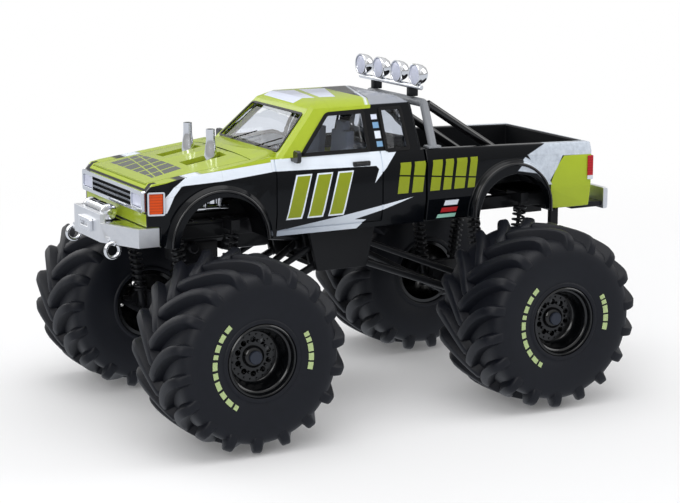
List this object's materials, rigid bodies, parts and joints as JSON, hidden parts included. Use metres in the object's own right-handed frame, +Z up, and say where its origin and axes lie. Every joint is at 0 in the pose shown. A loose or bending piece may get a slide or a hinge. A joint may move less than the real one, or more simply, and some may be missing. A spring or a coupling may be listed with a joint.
{
  "type": "toy monster truck",
  "caption": "Die-cast model of a lifted extended-cab pickup on very large farm-type tyres, with rolling wheels and a hood that opens at the cowl.",
  "frame": {"origin": "on the ground, under the middle of the overall box", "axes": "+X is the truck's left side, -Y its front, +Z up"},
  "size_m": [0.0808, 0.1202, 0.0728],
  "materials": {
    "amber_lens": "gloss",
    "black_paint": "gloss",
    "chassis_black": "satin",
    "chrome": "mirror",
    "clear_lens": "clear",
    "gloss_black": "gloss",
    "green_paint": "gloss",
    "grey_paint": "satin",
    "red_lens": "gloss",
    "rim_black": "gloss",
    "steel": "satin",
    "trim_grey": "matt",
    "tyre": "satin",
    "window": "clear"
  },
  "bodies": {
    "truck": {"bed_body": "black_paint", "cab_body": "black_paint", "drive_shafts": "chassis_black", "engine": "chassis_black", "fairlead": "chrome", "frame": "chassis_black", "front_axle": "chassis_black", "front_axle_pin": "steel", "front_bumper": "chrome", "front_links": "chassis_black", "front_shocks": "chassis_black", "glazing": "window", "grille": "chrome", "headers": "chrome", "headlamps": "clear_lens", "hitch": "chassis_black", "light_bar": "chrome", "link_mount": "chassis_black", "marker_lamps": "amber_lens", "mirrors": "gloss_black", "rear_axle": "chassis_black", "rear_axle_pin": "steel", "rear_bumper": "chrome", "rear_links": "chassis_black", "rear_shocks": "chassis_black", "roll_hoop": "grey_paint", "roll_struts": "gloss_black", "roof_lamps": "chrome", "roof_lenses": "clear_lens", "seats": "trim_grey", "stacks": "chrome", "steering_rod": "chassis_black", "steering_wheel": "trim_grey", "tail_lamps": "red_lens", "tow_hooks": "chrome", "transfer_case": "chassis_black", "winch": "chrome"},
    "hood": {"hood": "green_paint"},
    "wheel_front_left": {"rim_front_left": "rim_black", "tyre_front_left": "tyre"},
    "wheel_front_right": {"rim_front_right": "rim_black", "tyre_front_right": "tyre"},
    "wheel_rear_left": {"rim_rear_left": "rim_black", "tyre_rear_left": "tyre"},
    "wheel_rear_right": {"rim_rear_right": "rim_black", "tyre_rear_right": "tyre"}
  },
  "joints": [
    {"name": "hood_hinge", "type": "hinge", "parent": "truck", "child": "hood", "pos_m": [0, -0.0303, 0.05461], "axis": [-1, 0, 0], "range_deg": [0, 50]},
    {"name": "roll_front_left", "type": "hinge", "parent": "truck", "child": "wheel_front_left", "pos_m": [0.0287, -0.0386, 0.0195], "axis": [1, 0, 0], "continuous": true},
    {"name": "roll_front_right", "type": "hinge", "parent": "truck", "child": "wheel_front_right", "pos_m": [-0.0287, -0.0386, 0.0195], "axis": [1, 0, 0], "continuous": true},
    {"name": "roll_rear_left", "type": "hinge", "parent": "truck", "child": "wheel_rear_left", "pos_m": [0.0287, 0.0324, 0.0195], "axis": [1, 0, 0], "continuous": true},
    {"name": "roll_rear_right", "type": "hinge", "parent": "truck", "child": "wheel_rear_right", "pos_m": [-0.0287, 0.0324, 0.0195], "axis": [1, 0, 0], "continuous": true}
  ]
}
